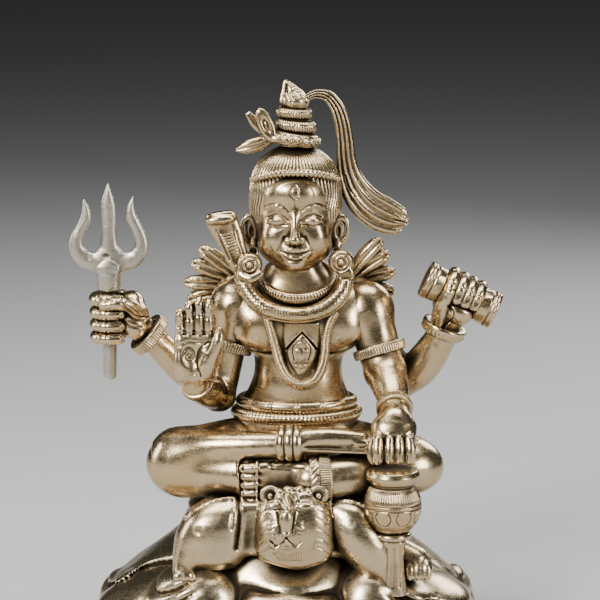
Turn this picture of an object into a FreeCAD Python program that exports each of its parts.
"""A cast brass statue of a seated four-armed deity on a rock base, built as a parametric document.

Frame: millimetres, +Z up, the front of the statue towards -Y. The origin is the centre of the base's foot.
"Right" and "left" are the figure's own, so its right side is towards -X.
Every sub-part is an object whose sizes and place are bound to the cells of the sheet "dims".
"""
import FreeCAD, Part
import math
import os

Vector = FreeCAD.Vector
UP = Vector(0, 0, 1)
doc = FreeCAD.newDocument("seated_deity_statue")
sheet = doc.addObject("Spreadsheet::Sheet", "dims")
sheet.Label = "dims"
rows_used = 0
values = {}
nodes = {}
plain = {}

# ---------------------------------------------------------------- the sheet

# Single sizes, in millimetres, and angles, in degrees.
SIZES = {
    "seat_level": 74.0,
    "shaft_radius": 3.35,
    "shaft_clearance": 0.1,
    "shaft_foot": 129.0,
    "trident_x": -88.6,
    "trident_y": -3.0,
    "collar_radius": 6.2,
    "collar_foot": 173.6,
    "fork_foot": 183.0,
    "fork_thickness": 3.6,
    "fork_half_width": 19.1,
    "fork_tip": 227.5,
    "fork_side_tip": 220.5,
    "drum_half_length": 19.4,
    "drum_radius": 9.2,
    "drum_waist_radius": 4.6,
    "drum_head_length": 10.0,
    "drum_tilt": 25.0,
    "stud_radius": 4.0,
    "stud_foot": 46.0,
    "stud_head": 92.0,
    "stud_hole_radius": 4.3,
    "roof_under": 57.0,
    "washer_radius": 9.0,
    "washer_thickness": 1.5,
    "nut_across_flats": 13.0,
    "nut_height": 6.5,
    "wall": 5.5,
    "finger_ring_radius": 6.3,
    "finger_radius": 2.7,
    "drum_grip_radius": 6.9,
    "drum_finger_radius": 2.45,
    "belt_roll_radius": 3.0,
    "cord_roll_radius": 2.7,
    "armlet_roll": 2.2,
    "bangle_roll": 2.0,
    "anklet_roll": 1.8,
    "hood_thickness": 5.0,
    "hood_x": -28.8,
    "hood_y": -8.0,
    "hood_z": 202.2,
    "hood_tilt": -20.5,
    "curl_roll": 2.6,
    "belt_level": 118.0,
    "cord_level": 112.2,
    "pendant_thickness": 3.0,
    "pendant_back": -16.4,
}

# Joints of the figure and other landmarks: x, y, z and the radius of the flesh there.
LANDMARKS = {
    "right_front_shoulder": (-25.0, -1.0, 168.5, 11.4),
    "right_front_elbow": (-36.5, -4.0, 124.0, 8.2),
    "right_front_wrist": (-46.0, -33.0, 134.0, 6.3),
    "right_thumb_root": (-36.5, -39.5, 146.0, 3.4),
    "right_thumb_tip": (-32.0, -41.0, 160.0, 2.7),
    "right_rear_shoulder": (-24.0, 9.0, 167.0, 9.6),
    "right_rear_elbow": (-40.0, 11.0, 121.0, 8.0),
    "right_rear_wrist": (-69.5, 1.0, 149.5, 6.4),
    "right_rear_palm": (-80.5, -1.0, 158.0, 7.2),
    "trident_thumb_root": (-78.0, -8.5, 164.0, 3.3),
    "trident_thumb_tip": (-88.0, -13.0, 167.0, 2.7),
    "left_front_shoulder": (36.0, -1.0, 168.0, 11.6),
    "left_front_elbow": (48.5, -8.0, 139.0, 9.2),
    "left_front_wrist": (53.4, -35.0, 124.0, 6.5),
    "left_front_knuckles": (52.0, -50.0, 109.5, 6.0),
    "left_rear_shoulder": (35.0, 9.0, 167.0, 9.6),
    "left_rear_elbow": (57.0, 11.0, 123.5, 8.8),
    "left_rear_wrist": (77.0, 2.0, 152.5, 7.2),
    "left_rear_palm": (83.0, -2.0, 163.5, 7.8),
    "drum_thumb_root": (76.5, -8.5, 161.0, 3.3),
    "drum_thumb_tip": (80.5, -15.0, 172.0, 2.7),
    "right_hip": (-13.0, 5.0, 93.0, 17.0),
    "right_knee": (-55.0, -24.0, 91.5, 15.2),
    "right_shin": (-26.0, -42.0, 101.0, 8.4),
    "right_ankle": (0.0, -47.0, 104.5, 6.6),
    "right_toes": (38.0, -43.0, 103.0, 5.2),
    "left_hip": (22.0, 5.0, 93.0, 17.0),
    "left_knee": (63.0, -22.0, 89.0, 14.0),
    "left_shin": (36.0, -40.5, 87.5, 11.2),
    "left_ankle": (13.0, -49.0, 86.8, 9.6),
    "left_toes": (-19.0, -52.0, 86.0, 8.4),
    "right_paw_shoulder": (-27.0, -42.0, 61.0, 12.5),
    "right_paw_elbow": (-39.0, -50.0, 57.5, 13.0),
    "right_paw_tip": (-43.0, -56.0, 43.0, 9.0),
    "left_paw_shoulder": (32.0, -42.0, 61.0, 12.0),
    "left_paw_elbow": (45.0, -47.0, 56.5, 11.0),
    "left_paw_tip": (62.0, -46.0, 44.0, 7.0),
    "right_lock_root": (-19.0, 15.0, 179.0, 4.6),
    "right_lock_0": (-41.0, 13.5, 203.0, 3.4),
    "right_lock_1": (-44.5, 13.0, 195.0, 3.4),
    "right_lock_2": (-47.5, 12.5, 186.0, 3.4),
    "right_lock_3": (-44.5, 13.0, 177.0, 3.4),
    "left_lock_root": (28.0, 15.0, 176.0, 4.6),
    "left_lock_0": (43.5, 13.5, 195.5, 3.4),
    "left_lock_1": (47.0, 13.0, 188.5, 3.4),
    "left_lock_2": (50.0, 12.5, 180.5, 3.4),
    "left_lock_3": (48.5, 13.0, 172.5, 3.4),
    "ornament_root": (-10.0, -5.0, 254.0, 3.0),
    "ornament_petal": (-22.4, -5.4, 245.4, 3.4),
    "ornament_bud": (-18.4, -4.6, 261.6, 2.8),
}

# Rounded masses: the centre's x, y, z and the half-sizes along X, Y and Z.
MASSES = {
    "right_palm": (-44.5, -39.0, 149.0, 10.6, 4.8, 13.0),
    "left_hand_back": (52.3, -45.0, 115.0, 11.2, 6.0, 9.5),
    "skull": (4.0, 2.0, 216.0, 21.8, 22.5, 27.5),
    "face": (4.0, -6.0, 209.0, 18.8, 20.0, 23.2),
    "right_ear": (-17.3, -1.0, 205.5, 4.2, 4.8, 9.4),
    "left_ear": (25.3, -1.0, 205.5, 4.2, 4.8, 9.4),
    "hair": (4.0, 3.0, 218.0, 24.4, 24.6, 29.5),
    "topknot_low": (5.3, 0.0, 256.0, 9.6, 9.6, 4.9),
    "topknot_high": (4.2, 0.0, 262.0, 8.4, 8.4, 4.3),
    "topknot_bulb": (4.1, 0.0, 267.3, 7.3, 7.3, 5.2),
    "topknot_tip": (0.8, 0.0, 273.0, 4.2, 3.4, 5.6),
    "pelt_back": (1.0, -6.0, 66.0, 56.0, 50.0, 8.6),
    "tiger_skull": (3.5, -55.0, 63.0, 17.8, 13.5, 17.5),
    "tiger_muzzle": (3.7, -63.0, 55.5, 10.5, 7.6, 9.5),
    "tiger_right_ear": (-9.6, -57.0, 79.2, 4.6, 3.4, 4.6),
    "tiger_left_ear": (15.6, -57.2, 79.4, 4.6, 3.4, 4.6),
    "boulder_front_right": (-22.0, -49.0, 9.0, 28.0, 22.5, 34.0),
    "boulder_front_left": (31.0, -48.5, 8.0, 27.0, 22.8, 33.0),
    "boulder_right": (-66.0, -27.0, 7.0, 32.0, 35.0, 31.0),
    "boulder_left": (66.0, -27.0, 6.0, 32.0, 35.0, 30.0),
    "boulder_under_pot": (50.0, -47.0, 16.0, 22.0, 22.5, 27.0),
    "boulder_rear_right": (-46.0, 36.0, 9.0, 38.0, 34.5, 34.0),
    "boulder_rear_left": (45.0, 37.0, 8.0, 38.0, 33.5, 33.0),
}

# Oval sections: the centre's x, y and z, and the half-sizes along X and Y.
TORSO_SECTIONS = [
    (4.5, 1.0, 74.0, 27.0, 20.0),
    (4.5, 1.0, 98.0, 31.0, 22.0),
    (4.8, 0.5, 112.0, 29.5, 20.5),
    (5.0, 0.0, 119.0, 26.5, 18.4),
    (5.2, 0.0, 126.0, 22.6, 16.6),
    (5.2, 0.0, 138.0, 21.6, 16.2),
    (5.2, 0.0, 148.0, 23.6, 16.8),
    (5.2, 0.0, 158.0, 28.5, 17.8),
    (5.2, 0.5, 168.0, 31.0, 16.8),
    (5.0, 0.5, 176.0, 27.0, 14.4),
    (4.6, 0.0, 182.0, 17.5, 12.6),
    (4.2, 0.0, 188.0, 13.4, 12.2),
    (4.0, 0.0, 196.0, 12.6, 12.0),
]
ROCK_SECTIONS = [
    (0.0, 0.0, -4.0, 97.0, 69.5),
    (0.0, 0.0, 6.0, 98.5, 71.0),
    (0.0, 0.0, 16.0, 94.0, 68.5),
    (0.0, 0.0, 30.0, 83.0, 64.5),
    (0.0, 0.0, 42.0, 68.0, 60.0),
    (0.0, 0.0, 53.0, 56.0, 54.0),
    (0.0, 0.0, 63.0, 50.0, 47.0),
]

# Routes that a round roll follows, through these points.
SNAKE_ROUTE = [
    (-26.0, -9.0, 194.5),
    (-22.0, -12.5, 184.5),
    (-18.8, -15.5, 175.0),
    (-12.0, -18.8, 168.4),
    (-3.0, -20.2, 165.6),
    (6.0, -20.6, 164.8),
    (14.0, -20.2, 166.2),
    (21.0, -18.8, 169.6),
    (27.4, -15.6, 176.2),
    (29.0, -12.5, 186.0),
]
MALA_ROUTE = [
    (-10.5, -18.0, 165.5),
    (-8.0, -18.6, 157.0),
    (-5.5, -18.6, 148.0),
    (-3.0, -18.4, 139.0),
    (1.0, -18.2, 132.2),
    (6.6, -18.0, 128.8),
    (12.6, -18.2, 130.6),
    (17.0, -18.4, 137.4),
    (18.7, -18.6, 146.0),
    (19.4, -18.6, 154.0),
    (21.0, -18.4, 160.0),
    (24.4, -17.6, 165.5),
]
STREAM_ROUTE = [
    (9.0, 0.0, 267.6),
    (17.5, 0.5, 271.6),
    (26.5, 1.5, 266.4),
    (31.0, 3.0, 253.0),
    (32.2, 4.5, 237.0),
    (34.4, 5.4, 224.0),
    (42.0, 5.6, 215.6),
    (53.0, 5.4, 212.0),
]
STREAM_RADII = [2.4, 2.9, 3.5, 3.9, 3.7, 4.6, 5.4, 4.2]
SNAKE_RADII = [3.6, 4.2, 4.3, 4.2, 4.0, 3.9, 4.0, 4.2, 4.0, 3.8]
MALA_RADII = [2.3, 2.35, 2.45, 2.55, 2.7, 2.9, 2.8, 2.6, 2.45, 2.4, 2.35, 2.3]
# Half of the cobra's spread hood, from its foot to its crown: the half-width and the height.
HOOD_HALF = [(4.6, -13.0), (5.6, -7.0), (6.4, 0.0), (7.2, 7.0), (7.6, 11.0), (5.0, 12.0)]
PENDANT_OUTLINE = [
    (6.8, 133.2),
    (10.6, 136.5),
    (14.2, 144.0),
    (15.6, 152.0),
    (15.8, 158.6),
    (-1.4, 158.6),
    (-1.6, 152.0),
    (0.2, 144.0),
    (3.2, 136.5),
]
# The blessing hand's fingers: the x that each stands at, and its tip's height.
RIGHT_FINGERS = {
    "little": (-52.6, 169.6),
    "ring": (-47.4, 174.6),
    "middle": (-42.2, 176.6),
    "index": (-37.2, 173.6),
}
# The two rolls at the waist: the half-sizes of the oval that each follows.
WAIST_ROLLS = {"waist_belt": (27.4, 19.0), "waist_cord": (29.9, 21.1)}
WAIST_X = 4.8
WAIST_Y = 0.2
FINGER_ROOT_Z = 158.0
CURL_RADIUS = 3.5
LEFT_FINGERS_X = [43.9, 49.0, 54.1, 59.2]
POT_AXIS = (51.5, -56.0)
# Turned profiles: the radius and the height of each corner.
POT_PROFILE = [
    (0, 64.0),
    (7.0, 64.0),
    (9.0, 65.4),
    (12.6, 70.0),
    (14.2, 76.0),
    (14.2, 79.0),
    (13.4, 84.0),
    (11.6, 87.0),
    (11.2, 88.4),
    (12.8, 90.0),
    (13.2, 92.2),
    (12.6, 94.4),
    (11.2, 95.6),
    (0, 95.6),
]
STAND_PROFILE = [
    (0, 24.0),
    (7.6, 24.0),
    (6.2, 46.0),
    (6.0, 59.0),
    (8.2, 60.4),
    (8.9, 62.0),
    (8.2, 63.6),
    (7.0, 64.0),
    (0, 64.0),
]
TRIDENT_FINGERS_Z = [170.6, 163.8, 157.0, 150.2]
DRUM_FINGERS_ALONG = [-6.8, -2.3, 2.3, 6.8]
DRUM_CENTRE = (86.2, -7.0, 172.4)


def put(name, value):
    """Writes one cell of the sheet and gives it its alias."""
    global rows_used
    rows_used += 1
    sheet.set(f"A{rows_used}", name)
    sheet.set(f"B{rows_used}", str(value))
    sheet.setAlias(f"B{rows_used}", name)
    values[name] = value


def put_all(name, suffixes, numbers):
    for suffix, number in zip(suffixes, numbers):
        put(f"{name}_{suffix}", number)


for size_name, size in SIZES.items():
    put(size_name, size)
for landmark, numbers in LANDMARKS.items():
    put_all(landmark, ("x", "y", "z", "radius"), numbers)
for mass, numbers in MASSES.items():
    put_all(mass, ("x", "y", "z", "half_x", "half_y", "half_z"), numbers)
for index, numbers in enumerate(TORSO_SECTIONS):
    put_all(f"torso_section_{index}", ("x", "y", "z", "half_x", "half_y"), numbers)
for index, numbers in enumerate(ROCK_SECTIONS):
    put_all(f"rock_section_{index}", ("x", "y", "z", "half_x", "half_y"), numbers)
doc.recompute()

# ---------------------------------------------------------------- helpers


def bind(thing, **expressions):
    """Binds properties to the sheet. In an expression, @name stands for that cell."""
    for prop, expression in expressions.items():
        thing.setExpression(prop.replace("__", "."), expression.replace("@", "dims."))
    return thing


def add(kind, name, **expressions):
    return bind(doc.addObject(kind, name), **expressions)


def turn_to(direction):
    return FreeCAD.Rotation(UP, Vector(*direction))


def point(name):
    return Vector(values[f"{name}_x"], values[f"{name}_y"], values[f"{name}_z"])


def at(thing, name):
    """Binds a thing's position to a landmark's cells."""
    return bind(
        thing,
        Placement__Base__x=f"@{name}_x",
        Placement__Base__y=f"@{name}_y",
        Placement__Base__z=f"@{name}_z",
    )


def ball(name):
    """The ball of flesh at a landmark."""
    return at(add("Part::Sphere", f"{name}_ball", Radius=f"@{name}_radius"), name)


def bone(start, end):
    """The tapered length of flesh from one landmark to another."""
    cone = add("Part::Cone", f"{start}_to_{end}", Radius1=f"@{start}_radius", Radius2=f"@{end}_radius")
    gaps = " + ".join(f"(@{end}_{axis} - @{start}_{axis}) ^ 2" for axis in "xyz")
    cone.Placement = FreeCAD.Placement(point(start), turn_to(point(end) - point(start)))
    bind(cone, Height=f"sqrt({gaps})")
    return at(cone, start)


def limb(*names):
    """Balls at the landmarks and tapered lengths between them."""
    return [ball(n) for n in names] + [bone(a, b) for a, b in zip(names, names[1:])]


def mass(name, tilt=None):
    """An ellipsoid of flesh, hair or rock. tilt turns it about an axis: (axis, degrees)."""
    egg = add(
        "Part::Ellipsoid",
        f"{name}_mass",
        Radius1=f"@{name}_half_z",
        Radius2=f"@{name}_half_x",
        Radius3=f"@{name}_half_y",
    )
    egg.Angle1 = -90
    if tilt:
        egg.Placement = FreeCAD.Placement(point(name), FreeCAD.Rotation(Vector(*tilt[0]), tilt[1]))
    return at(egg, name)


def rod(name, start, end, radius):
    """A round-ended rod between two points: a cylinder and its two balls. radius is an expression."""
    start, end = Vector(*start), Vector(*end)
    shaft = add("Part::Cylinder", f"{name}_rod", Radius=radius)
    shaft.Height = (end - start).Length
    shaft.Placement = FreeCAD.Placement(start, turn_to(end - start))
    caps = []
    for place, label in ((start, "root"), (end, "tip")):
        cap = add("Part::Sphere", f"{name}_{label}", Radius=radius)
        cap.Placement.Base = place
        caps.append(cap)
    return [shaft] + caps


def fuse(name, parts):
    joined = doc.addObject("Part::MultiFuse", f"{name}_joined")
    joined.Shapes = parts
    plain[name] = joined
    return joined


def cut(name, body, *tools):
    """body less each tool in turn."""
    for index, tool in enumerate(tools):
        less = doc.addObject("Part::Cut", f"{name}_less_{index}")
        less.Base = body
        less.Tool = tool
        body = less
    return body


def box(name, low, high):
    block = doc.addObject("Part::Box", name)
    block.Length, block.Width, block.Height = (h - l for l, h in zip(low, high))
    block.Placement.Base = Vector(*low)
    return block


def node(name, thing):
    """Names a sub-part. Its Label is its file's name."""
    thing.Label = name
    nodes[name] = thing
    return thing


def ovals(name, count, shrink=0.0):
    """A solid lofted through the oval sections of the sheet, each smaller by shrink all round."""
    sections = []
    for index in range(count):
        cell = f"{name}_section_{index}"
        less = f" - {shrink}" if shrink else ""
        oval = add("Part::Ellipse", f"{cell}_oval_{int(shrink)}")
        bind(oval, MajorRadius=f"@{cell}_half_x{less}", MinorRadius=f"@{cell}_half_y{less}")
        sections.append(at(oval, cell))
    loft = doc.addObject("Part::Loft", f"{name}_loft_{int(shrink)}")
    loft.Sections = sections
    loft.Ruled = True
    loft.Solid = True
    return loft


def roll(name, route, radii):
    """A round roll along a route: a ball at each point and a tapered length between each two."""
    points = [Vector(*p) for p in route]
    pieces = []
    for index, (place, radius) in enumerate(zip(points, radii)):
        knot = doc.addObject("Part::Sphere", f"{name}_knot_{index}")
        knot.Radius = radius
        knot.Placement.Base = place
        pieces.append(knot)
    for index, (start, end) in enumerate(zip(points, points[1:])):
        run = doc.addObject("Part::Cone", f"{name}_run_{index}")
        run.Radius1, run.Radius2, run.Height = radii[index], radii[index + 1], (end - start).Length
        run.Placement = FreeCAD.Placement(start, turn_to(end - start))
        pieces.append(run)
    return pieces


def ring_about(name, centre, direction, radius, roll_radius):
    """A torus about an axis. Both radii are expressions."""
    ring = add("Part::Torus", name, Radius1=radius, Radius2=roll_radius)
    ring.Placement = FreeCAD.Placement(Vector(*centre), turn_to(direction))
    return ring


def sketch_on(body, name, plane, closed_points):
    """A closed sketch of straight lines through points on one of the body's origin planes."""
    sketch = body.newObject("Sketcher::SketchObject", name)
    origin_plane = [f for f in body.Origin.OriginFeatures if f.Role == plane][0]
    sketch.AttachmentSupport = [(origin_plane, "")]
    sketch.MapMode = "FlatFace"
    corners = [Vector(x, y, 0) for x, y in closed_points]
    for a, b in zip(corners, corners[1:] + corners[:1]):
        sketch.addGeometry(Part.LineSegment(a, b), False)
    return sketch


def turned(name, profile):
    """A body turned about its own Z axis. profile lists (radius, height) corners, outside going up."""
    body = doc.addObject("PartDesign::Body", f"{name}_body")
    sketch = sketch_on(body, f"{name}_profile", "XZ_Plane", profile)
    revolved = body.newObject("PartDesign::Revolution", f"{name}_turned")
    revolved.Profile = sketch
    revolved.ReferenceAxis = (sketch, ["V_Axis"])
    revolved.Angle = 360
    return body


# ---------------------------------------------------------------- rock base and what holds the figure


def rock_base():
    """The hollow base. Returns its solid outline, which its neighbours are cut by, and the stud's hole."""
    outer = ovals("rock", len(ROCK_SECTIONS))
    lumps = [outer] + [mass(n) for n in MASSES if n.startswith("boulder")]
    floor_cut = box("below_floor", (-150, -150, -60), (150, 150, 0))
    solid = fuse("rock", [cut(f"rock_{index}", lump, floor_cut) for index, lump in enumerate(lumps)])
    roof = box("roof", (-150, -150, values["roof_under"]), (150, 150, 120))
    cavity = cut("cavity", ovals("rock", len(ROCK_SECTIONS), values["wall"]), roof)
    hole = add("Part::Cylinder", "stud_hole", Radius="@stud_hole_radius", Height="@seat_level")
    hole.Placement.Base = Vector(values["torso_section_0_x"], 0, 0)
    node("rock_base", cut("rock_base", solid, cavity, hole))
    return solid, hole


def stud_parts():
    """The threaded stud in the figure, and the washer and nut that draw it down on the base."""
    x = values["torso_section_0_x"]
    stud = add("Part::Cylinder", "stud", Radius="@stud_radius", Height="@stud_head - @stud_foot")
    stud.Placement.Base = Vector(x, 0, values["stud_foot"])
    node("figure_stud", stud)
    ring = add("Part::Cylinder", "washer_disc", Radius="@washer_radius", Height="@washer_thickness")
    eye = add("Part::Cylinder", "washer_eye", Radius="@stud_hole_radius", Height="@washer_thickness")
    washer = cut("washer", ring, eye)
    washer.Placement.Base = Vector(x, 0, values["roof_under"] - values["washer_thickness"])
    node("base_washer", washer)
    body = doc.addObject("PartDesign::Body", "nut_body")
    corner = values["nut_across_flats"] / math.sqrt(3)
    hexagon = []
    for k in range(6):
        angle = math.radians(60 * k)
        hexagon.append((corner * math.cos(angle), corner * math.sin(angle)))
    outline = sketch_on(body, "nut_outline", "XY_Plane", hexagon)
    pad = body.newObject("PartDesign::Pad", "nut_blank")
    pad.Profile = outline
    bind(pad, Length="@nut_height")
    doc.recompute()
    bore = body.newObject("Sketcher::SketchObject", "nut_bore")
    bore.AttachmentSupport = [(pad, "Face8")]
    bore.MapMode = "FlatFace"
    bore.addGeometry(Part.Circle(Vector(0, 0, 0), UP, values["stud_radius"]), False)
    pocket = body.newObject("PartDesign::Pocket", "nut_thread")
    pocket.Profile = bore
    pocket.Type = 1
    washer_foot = values["roof_under"] - values["washer_thickness"]
    body.Placement.Base = Vector(x, 0, washer_foot - values["nut_height"])
    node("base_nut", body)
    return stud


# ---------------------------------------------------------------- tiger pelt


def tiger_parts(rock, hole):
    below_seat = box("above_seat", (-120, -120, values["seat_level"]), (120, 120, 130))
    paws = limb("right_paw_shoulder", "right_paw_elbow", "right_paw_tip")
    paws += limb("left_paw_shoulder", "left_paw_elbow", "left_paw_tip")
    pelt = fuse("pelt", [mass("pelt_back")] + paws)
    skin = node("tiger_skin", cut("tiger_skin", pelt, below_seat, rock, hole, pot_room()))
    face = [mass(n) for n in ("tiger_skull", "tiger_muzzle", "tiger_right_ear", "tiger_left_ear")]
    node("tiger_head", cut("tiger_head", fuse("tiger_face", face), rock, plain["pelt"]))
    return skin


# ---------------------------------------------------------------- the figure's body


def torso_part(stud):
    """The torso with the hole that its stud is cast into, and the plain loft that cuts its neighbours."""
    loft = ovals("torso", len(TORSO_SECTIONS))
    node("torso", cut("torso", loft, stud))
    return loft


def pot_room():
    """The room that the pot takes up, with a little clearance."""
    room = doc.getObject("pot_room") or doc.addObject("Part::Cylinder", "pot_room")
    room.Radius, room.Height = 14.3, 34
    room.Placement.Base = Vector(*POT_AXIS, 62.5)
    return room


def leg_parts(torso):
    tiger = plain["tiger_face"]
    flesh = limb("left_hip", "left_knee", "left_shin", "left_ankle", "left_toes")
    left = cut("left_leg", fuse("left_leg", flesh), torso, tiger, pot_room())
    left = node("left_leg", left)
    right = fuse("right_leg", limb("right_hip", "right_knee", "right_shin", "right_ankle", "right_toes"))
    right = node("right_leg", cut("right_leg", right, torso, left))
    return right, left


def head_parts(torso):
    """The head, the hair that covers it, and the topknot with its ornament."""
    masses = [mass(n) for n in ("skull", "face", "right_ear", "left_ear")]
    head = node("head", cut("head", fuse("head", masses), torso))
    brow = box("brow_opening", (-40, -60, 150), (60, -4, 231))
    nape = box("nape_opening", (-40, -60, 150), (60, 60, 194))
    hair = node("hair_cap", cut("hair_cap", mass("hair"), brow, nape, head, torso))
    coils = [mass(n) for n in ("topknot_low", "topknot_high", "topknot_bulb", "topknot_tip")]
    topknot = node("topknot", cut("topknot", fuse("topknot", coils), hair))
    bead_ring = ring_about("bead_ring", (4.8, 0, 250.2), UP, "9.6", "3.1")
    bead_ring = node("topknot_bead_ring", cut("bead_ring", bead_ring, topknot, hair))
    loop = ring_about("moon_loop", (-10.6, -5.0, 258.2), (0.1, 1, 0.1), "4.0", "1.7")
    petals = limb("ornament_root", "ornament_petal")
    petals += [bone("ornament_root", "ornament_bud"), ball("ornament_bud")]
    ornament = cut("hair_ornament", fuse("ornament", petals + [loop]), topknot, hair)
    node("hair_ornament", ornament)
    flow = roll("stream", STREAM_ROUTE, STREAM_RADII)
    stream = fuse("stream", flow)
    stream = node("water_stream", cut("water_stream", stream, topknot, hair, head))
    return head, hair, stream


def lock_parts(cutters):
    """The fans of hair locks behind the shoulders."""
    for side in ("right", "left"):
        root = f"{side}_lock_root"
        locks = [ball(root)]
        for index in range(4):
            tip = f"{side}_lock_{index}"
            locks += [ball(tip), bone(root, tip)]
        name = f"{side}_hair_locks"
        node(name, cut(name, fuse(name, locks), *cutters[side]))


# ---------------------------------------------------------------- arms


def trident_bore():
    bore = add("Part::Cylinder", "trident_bore", Radius="@shaft_radius + @shaft_clearance", Height="120")
    return bind(
        bore,
        Placement__Base__x="@trident_x",
        Placement__Base__y="@trident_y",
        Placement__Base__z="@shaft_foot - 20",
    )


def front_right_arm(torso):
    """The blessing arm: its open palm faces forward."""
    parts = limb("right_front_shoulder", "right_front_elbow", "right_front_wrist")
    parts += limb("right_thumb_root", "right_thumb_tip") + [mass("right_palm")]
    palm_y = values["right_palm_y"]
    for name, (x, tip_z) in RIGHT_FINGERS.items():
        root, tip = (x, palm_y, FINGER_ROOT_Z), (x, palm_y + 1.0, tip_z)
        parts += rod(f"right_{name}_finger", root, tip, "@finger_radius")
    return node("right_front_arm", cut("right_front_arm", fuse("right_front_arm", parts), torso))


def front_left_arm(torso, legs, pot):
    """The arm that reaches down in front of the knee and rests its hand on the pot."""
    names = ("left_front_shoulder", "left_front_elbow", "left_front_wrist", "left_front_knuckles")
    parts = limb(*names) + [mass("left_hand_back", ((1, 0, 0), -30))]
    knuckle = point("left_front_knuckles")
    for index, x in enumerate(LEFT_FINGERS_X):
        start, end = (x, knuckle.y - 1.6, knuckle.z), (x, knuckle.y - 4.6, knuckle.z - 10.0)
        parts += rod(f"left_finger_{index}", start, end, "@finger_radius")
    arm = fuse("left_front_arm", parts)
    return node("left_front_arm", cut("left_front_arm", arm, torso, *legs, pot))


def rear_right_arm(torso):
    """The arm whose fist holds the trident's shaft in a bore."""
    parts = limb("right_rear_shoulder", "right_rear_elbow", "right_rear_wrist", "right_rear_palm")
    parts += limb("trident_thumb_root", "trident_thumb_tip")
    x, y = values["trident_x"], values["trident_y"]
    for index, z in enumerate(TRIDENT_FINGERS_Z):
        finger = f"trident_finger_{index}"
        parts.append(ring_about(finger, (x, y, z), UP, "@finger_ring_radius", "@finger_radius + 0.5"))
    seat = add("Part::Cylinder", "collar_seat", Radius="@collar_radius + 0.4", Height="20")
    bind(seat, Placement__Base__x="@trident_x", Placement__Base__y="@trident_y")
    bind(seat, Placement__Base__z="@collar_foot")
    arm = fuse("right_rear_arm", parts)
    front = plain["right_front_arm"]
    return node("right_rear_arm", cut("right_rear_arm", arm, torso, front, trident_bore(), seat))


def rear_left_arm(torso, drum, drum_axis):
    """The arm whose fist holds the hand drum by its waist."""
    parts = limb("left_rear_shoulder", "left_rear_elbow", "left_rear_wrist", "left_rear_palm")
    parts += limb("drum_thumb_root", "drum_thumb_tip")
    centre = Vector(*DRUM_CENTRE)
    for index, along in enumerate(DRUM_FINGERS_ALONG):
        place = centre + drum_axis * along
        finger = f"drum_finger_{index}"
        parts.append(ring_about(finger, place, drum_axis, "@drum_grip_radius", "@drum_finger_radius"))
    arm = fuse("left_rear_arm", parts)
    return node("left_rear_arm", cut("left_rear_arm", arm, torso, plain["left_front_arm"], drum))


# ---------------------------------------------------------------- what the hands hold


def drum_part(drum_axis):
    """The hourglass hand drum, turned about its own axis."""
    half, end = values["drum_half_length"], values["drum_radius"]
    waist, cup = values["drum_waist_radius"], values["drum_head_length"]
    upper = [
        (waist, half - cup),
        (end - 0.8, half - cup),
        (end, half - cup + 1.0),
        (end, half - 3.0),
        (end - 0.9, half - 2.4),
        (end - 0.9, half - 2.0),
        (end, half - 1.6),
        (end, half - 0.4),
        (end - 0.4, half),
    ]
    profile = [(0, -half)] + [(r, -h) for r, h in reversed(upper)] + upper + [(0, half)]
    drum = turned("drum", profile)
    drum.Placement = FreeCAD.Placement(Vector(*DRUM_CENTRE), turn_to(drum_axis))
    return node("hand_drum", drum)


def pot_parts(rock, skin):
    """The water pot and the stand that it rests on."""
    pot = turned("pot", POT_PROFILE)
    pot.Placement.Base = Vector(*POT_AXIS, 0)
    node("water_pot", pot)
    stand = turned("stand", STAND_PROFILE)
    stand.Placement.Base = Vector(*POT_AXIS, 0)
    node("pot_stand", cut("pot_stand", stand, rock, skin))
    return pot


def trident_parts():
    """The loose trident: a round shaft with a collar that stops on the fist, and a flat fork."""
    x, y = values["trident_x"], values["trident_y"]
    shaft = add("Part::Cylinder", "shaft", Radius="@shaft_radius", Height="@collar_foot - @shaft_foot")
    bind(shaft, Placement__Base__z="@shaft_foot")
    collar = add("Part::Cone", "shaft_collar", Radius1="@collar_radius", Radius2="@collar_radius - 0.4")
    bind(collar, Height="@fork_foot - @collar_foot", Placement__Base__z="@collar_foot")
    staff = fuse("trident_shaft", [shaft, collar])
    staff.Placement.Base = Vector(x, y, 0)
    node("trident_shaft", staff)
    body = doc.addObject("PartDesign::Body", "fork_body")
    body.Placement.Base = Vector(x, y, 0)
    sketch = body.newObject("Sketcher::SketchObject", "fork_outline")
    front_plane = [f for f in body.Origin.OriginFeatures if f.Role == "XZ_Plane"][0]
    sketch.AttachmentSupport = [(front_plane, "")]
    sketch.MapMode = "FlatFace"
    foot, half = values["fork_foot"], values["fork_half_width"]
    tip, side_tip = values["fork_tip"], values["fork_side_tip"]
    # The right half of the outline, from the foot's middle round to the central point.
    outer = [
        (5.8, foot),
        (12.5, foot + 3.5),
        (half - 1.0, foot + 9.0),
        (half, foot + 14.5),
        (half - 2.2, foot + 22.0),
        (13.0, foot + 30.0),
        (12.8, side_tip),
    ]
    inner = [
        (12.8, side_tip),
        (9.0, foot + 27.5),
        (10.4, foot + 22.0),
        (13.4, foot + 15.0),
        (12.2, foot + 10.4),
        (8.4, foot + 8.6),
        (4.6, foot + 10.6),
        (3.2, foot + 15.0),
    ]
    prong = [(3.2, foot + 15.0), (3.7, foot + 28.0), (2.6, foot + 38.0), (0, tip)]
    outline = [("line", [(0, foot), outer[0]]), ("spline", outer), ("spline", inner), ("spline", prong)]
    for side in (1, -1):
        for kind, route in outline:
            points = [Vector(side * u, v, 0) for u, v in route]
            if kind == "line":
                sketch.addGeometry(Part.LineSegment(*points), False)
            else:
                curve = Part.BSplineCurve()
                curve.interpolate(points)
                sketch.addGeometry(curve, False)
    pad = body.newObject("PartDesign::Pad", "fork_plate")
    pad.Profile = sketch
    pad.Midplane = True
    bind(pad, Length="@fork_thickness")
    node("trident_fork", body)


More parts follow.
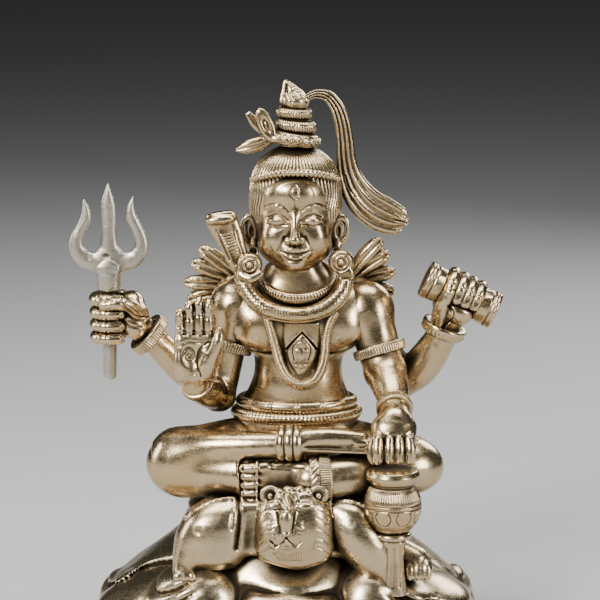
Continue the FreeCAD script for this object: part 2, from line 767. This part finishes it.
# ---------------------------------------------------------------- ornaments and snake


def ring_on_limb(name, side, ends, share, roll_cell, cutters, grow=0.4):
    """A ring round the limb between two of a side's landmarks, share of the way along it."""
    start, end = (f"{side}_{end}" for end in ends)
    a, b = point(start), point(end)
    radius = values[f"{start}_radius"] * (1 - share) + values[f"{end}_radius"] * share + grow
    ring = ring_about(f"{name}_ring", a + (b - a) * share, b - a, str(round(radius, 3)), f"@{roll_cell}")
    return node(name, cut(name, ring, *cutters))


def ornament_parts(shapes):
    torso, legs, arms = shapes["torso"], shapes["legs"], shapes["arms"]
    right_front, left_front, right_rear, left_rear = arms
    right_arms, left_arms = [right_front, right_rear, torso], [left_front, left_rear, torso]
    upper, fore = ("front_shoulder", "front_elbow"), ("front_elbow", "front_wrist")
    rear = ("rear_elbow", "rear_wrist")
    ring_on_limb("right_armlet", "right", upper, 0.53, "armlet_roll", right_arms)
    ring_on_limb("left_armlet", "left", upper, 0.74, "armlet_roll", left_arms)
    ring_on_limb("right_front_bangle", "right", fore, 0.84, "bangle_roll", [right_front])
    ring_on_limb("left_front_bangle", "left", fore, 0.9, "bangle_roll", [left_front])
    ring_on_limb("right_rear_bangle", "right", rear, 0.88, "armlet_roll", [], 2.35)
    ring_on_limb("left_rear_bangle", "left", rear, 0.86, "armlet_roll", [left_rear], 1.2)
    ring_on_limb("right_anklet", "right", ("shin", "ankle"), 0.93, "anklet_roll", legs)
    tiger = plain["tiger_face"]
    ring_on_limb("left_anklet", "left", ("shin", "ankle"), 0.86, "anklet_roll", [*legs, tiger])
    for name, (half_x, half_y) in WAIST_ROLLS.items():
        word = name.split("_")[1]
        centre = Vector(WAIST_X, WAIST_Y, values[f"{word}_level"])
        path = doc.addObject("Part::Ellipse", f"{name}_path")
        path.MajorRadius, path.MinorRadius = half_x, half_y
        path.Placement = FreeCAD.Placement(centre, FreeCAD.Rotation(UP, 180))
        circle = add("Part::Circle", f"{name}_section", Radius=f"@{word}_roll_radius")
        upright = FreeCAD.Rotation(Vector(1, 0, 0), 90)
        circle.Placement = FreeCAD.Placement(centre - Vector(half_x, 0, 0), upright)
        sweep = doc.addObject("Part::Sweep", f"{name}_sweep")
        sweep.Sections = [circle]
        sweep.Spine = (path, ["Edge1"])
        sweep.Solid = True
        node(name, cut(name, sweep, torso, *legs))


def neck_parts(shapes):
    torso, head, arms = shapes["torso"], shapes["head"], shapes["arms"]
    parts = roll("snake", SNAKE_ROUTE, SNAKE_RADII) + [hood_plate()]
    parts += curl("snake_coil", (-18.6, -13.4, 188.7)) + curl("snake_curl", (26.8, -11.6, 190.0))
    body = fuse("snake", parts)
    snake = node("snake", cut("snake", body, torso, *head, *arms))
    collar = ring_about("collar_ring", (4.3, -1.6, 183.2), (0, -0.12, 1), "14.6", "2.6")
    node("neck_collar", cut("neck_collar", collar, torso, snake, *head))
    mala = fuse("mala", roll("mala", MALA_ROUTE, MALA_RADII))
    node("mala", cut("mala", mala, torso, snake))
    pendant_plate(torso)
    return snake


def hood_plate():
    """The spread hood of the cobra, a leaf with its middle at the hood's landmark."""
    body = doc.addObject("PartDesign::Body", "hood_body")
    outline = HOOD_HALF + [(-u, v) for u, v in reversed(HOOD_HALF)]
    pad = body.newObject("PartDesign::Pad", "hood_leaf")
    pad.Profile = sketch_on(body, "hood_outline", "XZ_Plane", outline)
    pad.Midplane = True
    bind(pad, Length="@hood_thickness")
    tilt = FreeCAD.Rotation(Vector(0, 1, 0), values["hood_tilt"])
    body.Placement = FreeCAD.Placement(point("hood"), tilt)
    return body


def curl(name, centre):
    """A turn of the snake's body coiled on itself, in a plane that faces forward."""
    places = []
    for step in range(6):
        angle = math.radians(60 * step)
        places.append(Vector(*centre) + Vector(math.cos(angle), 0, math.sin(angle)) * CURL_RADIUS)
    return roll(name, places, [values["curl_roll"]] * len(places))


def pendant_plate(torso):
    """The flat leaf that hangs inside the beads."""
    body = doc.addObject("PartDesign::Body", "pendant_body")
    pad = body.newObject("PartDesign::Pad", "pendant_leaf")
    pad.Profile = sketch_on(body, "pendant_outline", "XZ_Plane", PENDANT_OUTLINE)
    bind(pad, Length="@pendant_thickness")
    bind(body, Placement__Base__y="@pendant_back")
    node("pendant", cut("pendant", body, torso))


# ---------------------------------------------------------------- build, check and write


def build():
    rock, hole = rock_base()
    stud = stud_parts()
    skin = tiger_parts(rock, hole)
    torso = torso_part(stud)
    pot = pot_parts(rock, skin)
    legs = leg_parts(torso)
    head, hair, stream = head_parts(torso)
    tilt = math.radians(values["drum_tilt"])
    drum_axis = Vector(math.cos(tilt), 0, -math.sin(tilt))
    drum = drum_part(drum_axis)
    front_right_arm(torso)
    front_left_arm(torso, legs, pot)
    rear_right_arm(torso)
    rear_left_arm(torso, drum, drum_axis)
    trident_parts()
    arms = [plain[f"{side}_{place}_arm"] for place in ("front", "rear") for side in ("right", "left")]
    shapes = {"torso": torso, "legs": legs, "arms": arms, "head": (head, hair)}
    ornament_parts(shapes)
    snake = neck_parts(shapes)
    body = [torso, head, hair, snake]
    lock_parts({"right": body + [arms[0], arms[2]], "left": body + [arms[1], arms[3], stream]})


def whole_solids(shape):
    """The solids of a shape, without the crumbs that a cut can leave."""
    solids = sorted(shape.Solids, key=lambda s: s.Volume, reverse=True)
    return [s for s in solids if s.Volume > 0.02 * solids[0].Volume]


def write_parts():
    os.makedirs("parts", exist_ok=True)
    failed = [thing.Name for thing in doc.Objects if {"Invalid", "Error"} & set(thing.State)]
    if failed:
        raise RuntimeError(f"these failed: {failed}")
    for name, thing in nodes.items():
        solids = whole_solids(thing.Shape)
        if not solids or not all(s.isValid() and s.Volume > 0 for s in solids):
            raise RuntimeError(f"{name} is not a valid solid")
        shape = solids[0] if len(solids) == 1 else Part.Compound(solids)
        shape.exportStep(f"parts/{name}.step")
        reread = Part.Shape()
        reread.read(f"parts/{name}.step")
        if not reread.isValid():
            raise RuntimeError(f"{name} is not valid once written")
        print(f"{name:22s} {len(solids)} solid(s) {sum(s.Volume for s in solids) / 1000:9.2f} cm3")


build()
doc.recompute()
write_parts()
